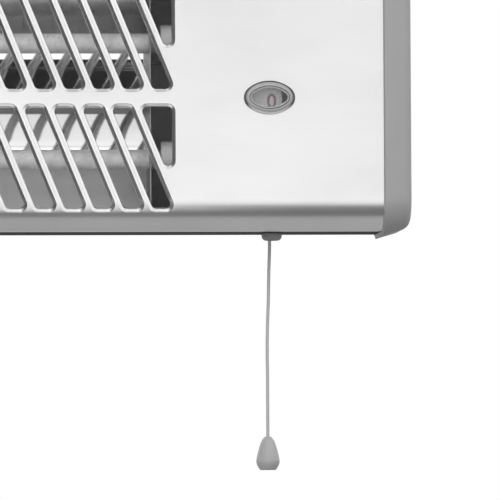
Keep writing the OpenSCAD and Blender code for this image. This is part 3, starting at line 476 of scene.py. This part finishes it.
GROMMET = [(2.4, -4.0), (3.3, -4.0), (4.0, -3.85), (4.7, -3.45), (5.2, -2.8), (5.5, -2.0), (5.65, -1.1), (5.7, -0.4),
           (5.6, -0.1), (4.3, -0.1), (4.3, 1.1), (5.1, 1.1), (4.9, 2.1), (4.5, 2.5), (2.4, 2.5)]
grommet = turned("cord_bush", GROMMET, place(201.2, 45, -72), (0, 0, 1), closed=True)
dress(grommet, "heater", "black_plastic", "cord_grommet",
      material=finish("grey_bush", grey(0.26), grey(0.31), (0.45, 0.55), bump=0.1, inputs={"Scale": 1600.0}))


# ---- outlines, in millimetres

EDGE_R, HALF_H, KNEE, DEPTH, BACK_H = 18.0, 72.0, 62.0, 78.0, 66.0
HALF_L = 260.0
FLAT = HALF_H - EDGE_R
QUARTER = EDGE_R * math.pi / 2      # run of the sheet round one bend


def body_outline(grow, steps=14):
    """Section of the body as (depth, height) points, grown by an offset, front corners round."""
    points = []
    for s in (-1, 1):
        for k in range(steps + 1):
            a = math.radians(90 * k / steps)
            a = math.pi / 2 - a if s < 0 else a
            points.append((EDGE_R - (EDGE_R + grow) * math.cos(a), s * (FLAT + (EDGE_R + grow) * math.sin(a))))
    slope = math.hypot(DEPTH - KNEE, HALF_H - BACK_H)
    tilt = (HALF_H - BACK_H) / slope
    knee_z = HALF_H + grow
    back_z = BACK_H + grow * (1 - tilt) * slope / (DEPTH - KNEE)
    points += [(KNEE, knee_z), (DEPTH + grow, back_z), (DEPTH + grow, -back_z), (KNEE, -knee_z)]
    return points


def rounded(corners, r, arc=12):
    """Points of a convex outline given by the centres of its round corners, counter-clockwise."""
    ways = [math.degrees(math.atan2(-(b[0] - a[0]), b[1] - a[1]))
            for a, b in zip(corners, corners[1:] + corners[:1])]
    points = []
    for i, c in enumerate(corners):
        start, turn = ways[i - 1], (ways[i] - ways[i - 1]) % 360
        steps = math.ceil(turn / arc)
        for k in range(steps + 1):
            a = math.radians(start + turn * k / steps)
            points.append((c[0] + r * math.cos(a), c[1] + r * math.sin(a)))
    return points


GRILLE_RIGHT, PITCH, SLOT_W, SLOT_H, SLOT_R, CORNER_W = 144.0, 15.93, 10.4, 55.8, 2.5, 17.2
BARS = 22           # bars of a row between its two end openings
ROW_GAP = 10        # height of the plain band between the two rows
LEAN_ANGLE = math.radians(22.2)
LEAN = math.tan(LEAN_ANGLE)
SIDE = SLOT_R / math.cos(LEAN_ANGLE)
GRILLE_LEFT = GRILLE_RIGHT - (2 * CORNER_W + BARS * PITCH - SLOT_W - SLOT_H * LEAN)


def slot_row():
    """Corner centres of the slots and end openings of one row, about its mid height."""
    z = SLOT_H / 2 - SLOT_R
    tip = GRILLE_RIGHT - CORNER_W
    row = []
    for i in range(1, BARS):
        x = tip - i * PITCH
        low, top = x + (SLOT_H - SLOT_R) * LEAN, x + SLOT_R * LEAN
        row.append([(low + SIDE, -z), (low + SLOT_W - SIDE, -z), (top + SLOT_W - SIDE, z), (top + SIDE, z)])
    end = [(GRILLE_RIGHT - SLOT_R, SLOT_H / 2 - (CORNER_W - SLOT_R - SIDE) / LEAN),
           (GRILLE_RIGHT - SLOT_R, z), (tip + SLOT_R * LEAN + SIDE, z)]
    return row + [end, [(GRILLE_LEFT + GRILLE_RIGHT - x, -y) for x, y in end]]


# Centre, half axes and end radius of the window.
WINDOW_X, WINDOW_A, WINDOW_B, WINDOW_END_R = 197.2, 13.9, 9.2, 6.624


def oval(grow, count=96):
    """Points of the window's oval, grown by an offset."""
    a, b, e = WINDOW_A + grow, WINDOW_B + grow, WINDOW_END_R + grow
    rise = ((a - e) ** 2 - (b - e) ** 2) / (2 * (b - e))
    big = b + rise
    meet = math.atan2(rise, a - e)
    points = []
    for k in range(count):
        t = 2 * math.pi * k / count
        q = t % math.pi
        q = q if q <= math.pi / 2 else math.pi - q
        if q < meet:
            x, y = (a - e) + e * math.cos(q), e * math.sin(q)
        else:
            x, y = big * math.cos(q), big * math.sin(q) - rise
        x = x if math.cos(t) >= 0 else -x
        points.append((WINDOW_X + x, y if math.sin(t) >= 0 else -y))
    return points


# ---- front panel

def bend_round(x, run, lift):
    """Wraps a flat sheet point round the body: run is measured up the sheet, lift out of it."""
    s = 1 if run >= 0 else -1
    over = abs(run) - FLAT
    if over <= 0:
        return place(x, -lift, run)
    if over <= QUARTER:
        a = over / EDGE_R
        return place(x, EDGE_R - (EDGE_R + lift) * math.cos(a), s * (FLAT + (EDGE_R + lift) * math.sin(a)))
    return place(x, EDGE_R + over - QUARTER, s * (HALF_H + lift))


# Steps of a slot's pressed rim, each (inward, down).
RIM = ((0.12, 0.05), (0.2, 0.25), (0.15, 0.1), (1.0, 0.33), (0.2, 0.25), (0.15, 0.35), (0.08, 0.57))
RIM_WIDTH = 1.9     # all of its steps inward together
PANEL_SHEET = 0.8   # thickness
PANEL_RETURN = 6.0  # run of the sheet behind each bend
BEND_CUTS = 18      # facets round each bend


def make_slots():
    """The pressed rims of all slots on the flat sheet, open at their foot."""
    verts, faces = [], []
    for s in (-1, 1):
        for corners in slot_row():
            ring = rounded([(x, y + s * (SLOT_H + ROW_GAP) / 2) for x, y in corners], SLOT_R + RIM_WIDTH)
            faces.append(tuple(range(len(verts), len(verts) + len(ring))))
            verts += [(x, y, 0) for x, y in ring]
    slots = new_mesh("slots", verts, faces)
    start_edit(slots)
    for inward, down in RIM:
        bpy.ops.mesh.inset(thickness=inward, depth=-down, use_even_offset=True, use_individual=True)
    bpy.ops.mesh.extrude_region_move(TRANSFORM_OT_translate={"value": (0, 0, -PANEL_SHEET)})
    bpy.ops.mesh.delete(type="FACE")
    end_edit()
    return slots


def make_front_panel():
    """A flat sheet with its slots and window hole, bent round the body and given its thickness."""
    slots = make_slots()
    bpy.ops.object.select_all(action="DESELECT")
    bpy.ops.mesh.primitive_plane_add(size=2)
    sheet = bpy.context.active_object
    sheet.scale = (HALF_L, FLAT + QUARTER + PANEL_RETURN, 1)
    settle(sheet)
    start_edit(sheet)
    bpy.ops.mesh.delete(type="ONLY_FACE")
    end_edit()
    ring = [(x, y, 0) for x, y in oval(0.1)]
    hole = new_mesh("window_hole", ring, edges=[(i, (i + 1) % len(ring)) for i in range(len(ring))])
    panel = join("front_sheet", [slots, sheet, hole])
    start_edit(panel, "EDGE")
    pick(panel, edges=lambda e: len(e.link_faces) < 2 and all(abs(v.co.z) < 1e-4 for v in e.verts))
    bpy.ops.mesh.fill(use_beauty=True)
    bpy.ops.mesh.select_all(action="SELECT")
    bpy.ops.mesh.remove_doubles(threshold=1e-4)
    bm = bmesh.from_edit_mesh(panel.data)
    for f in bm.faces:
        if f.normal.z < -0.5:
            f.normal_flip()
    bmesh.update_edit_mesh(panel.data)
    for s in (-1, 1):
        for k in range(BEND_CUTS + 1):
            bpy.ops.mesh.select_all(action="SELECT")
            bpy.ops.mesh.bisect(plane_co=(0, s * (FLAT + QUARTER * k / BEND_CUTS), 0), plane_no=(0, 1, 0))
    end_edit()
    for v in panel.data.vertices:
        v.co = bend_round(*v.co)
    with_modifier(panel, "SOLIDIFY", thickness=PANEL_SHEET * MM, offset=-1.0)
    smooth(panel, 40)
    with_modifier(panel, "WEIGHTED_NORMAL", keep_sharp=True, weight=100)
    dress(panel, "heater", "stainless_sheet", "front_panel")


make_front_panel()


# ---- end caps

def make_end_cap(side):
    """A moulded cap: the body's outline, grown by the wall, drawn out to a sloping face with a round edge."""
    wall, gap, width = 2.5, 0.2, 15.0
    slope, r, arc_steps = math.radians(16.3), 6.0, 8
    screw_depth, screw_z = 36, 45
    holes = ((3.8, -3.8, 48), (2.1, -12, 32))       # (radius, foot, sides): the head's room, then the shank's
    outline = body_outline(wall)
    verts = [place(HALF_L + gap, d, z) for d, z in outline]
    cap = new_mesh("end_cap", verts, [tuple(range(len(verts)))])
    if cap.data.polygons[0].normal.x < 0:
        cap.data.flip_normals()
    arc_x = width - r + r * math.sin(slope)
    profile = [(0.0, 0.0), (arc_x * 0.5, arc_x * 0.5 * math.tan(slope)), (arc_x, arc_x * math.tan(slope))]
    for k in range(1, arc_steps + 1):
        a = slope + (math.pi / 2 - slope) * k / arc_steps
        profile.append((width - r + r * math.sin(a), profile[2][1] + r * (math.cos(slope) - math.cos(a))))
    start_edit(cap)
    for (x0, g0), (x1, g1) in zip(profile, profile[1:]):
        bpy.ops.mesh.inset(thickness=(g1 - g0) * MM, depth=(x1 - x0) * MM, use_even_offset=True)
    end_edit()
    with_modifier(cap, "SOLIDIFY", thickness=wall * MM, offset=-1.0)
    for z in (-screw_z, screw_z):
        screw = place(HALF_L + gap + width, screw_depth, z)
        for radius, foot, sides in holes:
            cutter = turned("hole", [(radius, foot), (radius, 3)], screw, (1, 0, 0), sides)
            with_modifier(cap, "BOOLEAN", object=cutter, operation="DIFFERENCE", solver="EXACT")
            bpy.data.objects.remove(cutter)
    with_modifier(cap, "BEVEL", width=0.35 * MM, segments=2, limit_method="ANGLE", angle_limit=math.radians(40))
    if side < 0:
        cap.data.transform(Matrix.Scale(-1, 4, (1, 0, 0)))
        cap.data.flip_normals()
    smooth(cap, 40)
    name = "right" if side > 0 else "left"
    cap.name = "moulded_cap_" + name
    dress(cap, "heater", "grey_moulding", "end_cap_" + name)


for side in (-1, 1):
    make_end_cap(side)


# ---- reflector, tubes and their ceramic ends

TUBE_MID, TUBE_DEPTH, TUBE_Z = -32.0, 30, 32


def trough_side():
    """Half of the reflector's section as (depth, height), from its rim in to the middle ridge."""
    bottom, low, near_r, far_r, rim = 50.0, 25.5, 38.0, 56.5, 61.0
    outer, inner, step, trough_points, ridge_steps = 36, 9, 1.5, 31, 14
    side = []
    for k in range(trough_points):
        a = math.radians(outer - k * step)
        side.append((bottom - near_r * (1 - math.cos(a)), low + near_r * math.sin(a)))
    side.insert(0, (side[0][0] - (rim - side[0][1]) * math.tan(math.radians(outer)), rim))
    d0, z0 = side[-1]
    start = math.radians(inner)
    last = math.asin(math.sin(start) + (z0 - 1) / far_r)
    for k in range(1, ridge_steps + 1):
        a = start + (last - start) * k / ridge_steps
        side.append((d0 - far_r * (math.cos(start) - math.cos(a)), z0 - far_r * (math.sin(a) - math.sin(start))))
    return side


def make_reflector():
    """One polished sheet bent into two troughs with a ridge between them and a lip at each edge."""
    length, thickness, lip_depth, lip_z, pivot = 329, 0.5, 14, 69.9, 44
    side = trough_side()
    tilt = math.radians(1.75)
    profile = [(pivot + (d - pivot) * math.cos(tilt) - z * math.sin(tilt),
                z * math.cos(tilt) + (d - pivot) * math.sin(tilt))
               for d, z in side + [(d, -z) for d, z in reversed(side)]]
    profile = [(lip_depth, lip_z), (lip_depth, profile[0][1])] + profile
    profile += [(lip_depth, profile[-1][1]), (lip_depth, -lip_z)]
    verts = [place(TUBE_MID - length / 2, d, z) for d, z in profile]
    obj = new_mesh("polished_troughs", verts, edges=[(i, i + 1) for i in range(len(verts) - 1)])
    start_edit(obj, "EDGE")
    bpy.ops.mesh.extrude_region_move(TRANSFORM_OT_translate={"value": (length * MM, 0, 0)})
    end_edit()
    back = [f for f in obj.data.polygons if f.normal.y > 0]
    if len(back) > len(obj.data.polygons) / 2:
        obj.data.flip_normals()
    with_modifier(obj, "SOLIDIFY", thickness=thickness * MM, offset=-1.0)
    smooth(obj, 30)
    dress(obj, "heater", "polished_aluminium", "reflector")


make_reflector()

QUARTZ = [(4.3, -176.8), (5.15, -176.8), (5.45, -176.5), (5.45, 176.5), (5.15, 176.8), (4.3, 176.8)]
for name, z in (("upper", TUBE_Z), ("lower", -TUBE_Z)):
    tube = turned("quartz_" + name, QUARTZ, place(TUBE_MID, TUBE_DEPTH, z), (1, 0, 0), closed=True)
    dress(tube, "heater", "frosted_quartz", "quartz_tube_" + name)

SOCKET = [(5.55, 177), (5.55, 171.4), (6.0, 171), (9.2, 171), (9.8, 171.25), (10, 171.8), (10, 180.4),
          (9.7, 181), (7.4, 181), (7.0, 181.4), (7.0, 185.6), (6.6, 186), (1.35, 186), (1.35, 177)]
for name, s in (("left", -1), ("right", 1)):
    rings = [turned("socket", SOCKET, place(TUBE_MID, TUBE_DEPTH, z), (s, 0, 0), closed=True)
             for z in (-TUBE_Z, TUBE_Z)]
    sockets = join("ceramic_ends_" + name, rings)
    dress(sockets, "heater", "steatite", "tube_sockets_" + name)


# ---- window, dial and its numbers

def satin_window():
    """The stepped ring round the clear oval, with painted light on its wall: painted shade all round but for a
    painted highlight at its foot.
    """
    material = finish("satin_window", grey(0.58), grey(0.66), (0.18, 0.26), share=0.3, bump=0.02,
                      inputs={"Scale": 900.0}, Transmission_Weight=0.45, IOR=1.49)
    tree, shader, where = opened(material)
    apart = vector_maths(tree, "SUBTRACT", where["Object"], place(WINDOW_X, 0, 0))
    flat = vector_maths(tree, "MULTIPLY", apart, (1 / (WINDOW_A * MM), 0, 1 / (WINDOW_B * MM)))
    far = vector_maths(tree, "LENGTH", flat, output="Value")
    # Painted light on the wall, by height: painted shade on its upper part, fading to a painted highlight at its
    # foot.
    wall = ramp(tree, far, From_Min=0.88, From_Max=0.94)
    rise = ramp(tree, axes(tree, apart)["Z"], From_Min=-7.4 * MM, From_Max=-3.5 * MM)
    edge = blend(tree, rise, grey(0.95), grey(0.1))
    feed(tree, shader, {"Base Color": blend(tree, wall, fed_by(shader, "Base Color"), edge)})
    return material


def make_window():
    """Clear stepped cap over the dial: an oval face set in and raised step by step, then given its wall."""
    flange, foot_depth, wall, ring_width = 1.6, 1.85, 0.9, 2.4
    steps = [(0.0, 1.0), (1.7, 0.0), (0.0, 1.75), (0.12, 0.22), (0.3, 0.1), (0.9, 0.02), (0.25, 0.1), (0.1, 0.7),
             (0.2, 0.2), (0.3, 0.08), (1.5, 0.02), (0.2, -0.5), (0.12, -0.06)]      # (inward, outward)
    ring_depth, groove_in, groove_width, groove_depth = -2.33, 0.51, 0.06, 0.6
    ring = oval(flange)
    lens = new_mesh("window_cap", [place(x, foot_depth, y) for x, y in ring], [tuple(range(len(ring)))])
    if lens.data.polygons[0].normal.y > 0:
        lens.data.flip_normals()
    # A near black material for the groove's faces: painted shade in the groove.
    painted_groove_shade = finish("painted_shade_groove", grey(0.05), grey(0.1), (0.35, 0.5), bump=0.05, inputs={"Scale": 900.0})
    for material in (satin_window(), FINISHES["clear_window"], painted_groove_shade):
        lens.data.materials.append(material)
    start_edit(lens)
    for inward, out in steps:
        if inward:
            bpy.ops.mesh.inset(thickness=inward * MM, depth=out * MM, use_even_offset=True)
        else:
            bpy.ops.mesh.extrude_region_move(TRANSFORM_OT_translate={"value": (0, -out * MM, 0)})
    bm = bmesh.from_edit_mesh(lens.data)
    for f in bm.faces:
        f.material_index = int(f.select)
    bmesh.update_edit_mesh(lens.data)
    bpy.ops.mesh.inset(thickness=ring_width * MM, depth=0, use_even_offset=True)
    pick(lens, faces=lambda f: f.normal.y > 0.5)
    bpy.ops.mesh.delete(type="FACE")
    end_edit()
    with_modifier(lens, "SOLIDIFY", thickness=wall * MM, offset=-1.0)
    start_edit(lens)
    ring_front = place(0, ring_depth, 0).y
    pick(lens, faces=lambda f: f.normal.y < -0.99 and abs(f.calc_center_median().y - ring_front) < 0.02 * MM)
    bpy.ops.mesh.inset(thickness=groove_in * MM, depth=0)
    # The groove's floor and walls take the painted shade.
    lens.active_material_index = 2
    bpy.ops.object.material_slot_assign()
    bpy.ops.mesh.inset(thickness=groove_width * MM, depth=-groove_depth * MM)
    end_edit()
    smooth(lens, 25)
    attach(lens, "heater")
    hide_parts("lens")


make_window()


def make_numbers():
    """0, 1 and 2, three times round the dial. A pull brings the next one down to the window's middle."""
    count, step, dial_x, radius, depth = 9, 40, 186, 12.9, 7.95
    size, raised, heavier, drop = 10.8, 0.05, 0.12, 1.75
    parts = []
    hub = place(dial_x, 0, 0)
    stand = Matrix.Rotation(math.pi / 2, 4, "X")
    for i in range(count):
        curve = bpy.data.curves.new("number", "FONT")
        curve.body = str(i % 3)
        curve.size = size * MM
        curve.extrude = raised * MM
        curve.offset = heavier * MM
        curve.align_x, curve.align_y = "CENTER", "CENTER"
        digit = bpy.data.objects.new("number", curve)
        bpy.context.scene.collection.objects.link(digit)
        only(digit)
        bpy.ops.object.convert(target="MESH")
        out = Matrix.Translation((radius * MM, -(FRONT - depth) * MM - hub.y, -drop * MM if i == 0 else 0))
        turn = Matrix.Rotation(-math.radians(step * i), 4, "Y")
        digit.data.transform(Matrix.Translation(hub) @ turn @ out @ stand)
        parts.append(digit)
    numbers = join("dial_numbers", parts)
    ink = finish("red_print", (0.36, 0.11, 0.14), (0.45, 0.15, 0.18), (0.5, 0.6), bump=0.05)
    dress(numbers, "dial", "dial_plastic", material=ink)


make_numbers()


# ---- studio, in metres

FLOOR_Z, CARD_Z, BOUNCE_Z = -0.26, -0.262, -0.272


def emitter(name, size, centre, aim, power):
    """A soft lamp that no reflection shows."""
    light = bpy.data.lights.new(name, "AREA")
    light.shape = "RECTANGLE"
    light.size, light.size_y = size
    light.energy = power
    obj = bpy.data.objects.new(name, light)
    obj.location = centre
    obj.rotation_euler = (Vector(aim) - Vector(centre)).to_track_quat("-Z", "Y").to_euler()
    obj.visible_glossy = False
    bpy.context.scene.collection.objects.link(obj)


def make_world():
    """White where the camera, metal and glass look past the object, soft grey light elsewhere."""
    world = bpy.data.worlds.new("studio")
    bpy.context.scene.world = world
    world.use_nodes = True
    tree = world.node_tree
    ray = node(tree, "ShaderNodeLightPath").outputs
    seen = maths(tree, "MAXIMUM", ray["Is Camera Ray"], ray["Is Glossy Ray"])
    seen = maths(tree, "MAXIMUM", seen, ray["Is Transmission Ray"])
    feed(tree, tree.nodes["Background"], {"Color": blend(tree, seen, grey(0.85), grey(1.0))})


def flat_sheet(name, size, centre, turn, material):
    """A flat sheet with its place in its mesh. Its turn is in degrees."""
    bpy.ops.object.select_all(action="DESELECT")
    bpy.ops.mesh.primitive_plane_add(size=1)
    sheet = bpy.context.active_object
    sheet.name = name
    sheet.scale = (*size, 1)
    sheet.rotation_euler = [math.radians(a) for a in turn]
    sheet.location = centre
    settle(sheet)
    sheet.data.materials.append(material)
    return sheet


def make_floor():
    """The floor in the picture, and a twin under the cards that gives the object its light from below."""
    material = finish("pale_floor", grey(0.78), grey(0.82), (0.8, 0.9), bump=0.0, inputs={"Scale": 4.0},
                      Specular_IOR_Level=0.0)
    for name, height, shown in (("floor", FLOOR_Z, True), ("bounce_floor", BOUNCE_Z, False)):
        floor = flat_sheet(name, (14, 14), (0, 0, height), (0, 0, 0), material)
        floor.visible_camera = shown
        floor.visible_glossy = floor.visible_diffuse = floor.visible_transmission = not shown
        floor.visible_shadow = False


def card(name, material, size, centre, turn=(0, 0, 0), shades=False):
    """A card beside bright metal, seen by reflections alone or, where it shades, by soft light as well."""
    sheet = flat_sheet(name, size, centre, turn, material)
    sheet.visible_camera = sheet.visible_shadow = sheet.visible_transmission = False
    sheet.visible_diffuse = shades


def bright_material():
    """Lit panel that is brightest at its left."""
    material = finish("bright_card", grey(0.01), grey(0.02), (0.9, 1.0), bump=0.0)
    tree, shader, where = opened(material)
    level = ramp(tree, axes(tree, where["Object"])["X"], From_Min=0.0, From_Max=0.6, To_Min=1.0, To_Max=0.81)
    feed(tree, shader, {"Emission Color": level, "Emission Strength": 1.35})
    return material


BLACK = finish("black_card", grey(0.01), grey(0.02), (0.9, 1.0), bump=0.0)
DARK = finish("dark_card", grey(0.11), grey(0.13), (0.9, 1.0), bump=0.0)
GREY = finish("grey_card", grey(0.36), grey(0.4), (0.9, 1.0), bump=0.0)
UPRIGHT = (90, 0, 0)
make_world()
make_floor()
emitter("key_light", (1.2, 1.6), (-0.9, -2.2, 1.5), (0.13, -0.1, 0), 24)
emitter("fill_light", (1.0, 1.6), (1.6, -2.2, 0.7), (0.1, -0.1, 0), 8)
card("card_left", BLACK, (5.0, 4.2), (-1.6, -1.5, 1.0), (0, 90, 0))
card("card_floor_left", BLACK, (1.5, 2.6), (-0.95, -1.0, CARD_Z))
card("card_low", DARK, (1.5, 0.15), (0.1, -0.265, CARD_Z), shades=True)
card("card_low_right", DARK, (0.7, 0.26), (0.52, -0.47, CARD_Z), shades=True)
card("card_under", GREY, (1.5, 2.2), (0.1, 0.91, CARD_Z), shades=True)
card("card_front", BLACK, (0.4, 1.2), (0.14, -3.6, 0.9), UPRIGHT)
card("card_front_upper", BLACK, (0.7, 4.2), (0.25, -3.6, 3.6), UPRIGHT)
card("card_top", GREY, (0.9, 4.2), (0.3, -1.5, 5.7))
card("card_bright", bright_material(), (2.4, 1.6), (0.2, -3.75, 0.55), UPRIGHT)
card("card_right", GREY, (0.8, 3.4), (1.36, -3.6, 1.3), UPRIGHT)

bpy.context.scene.view_settings.view_transform = "Standard"
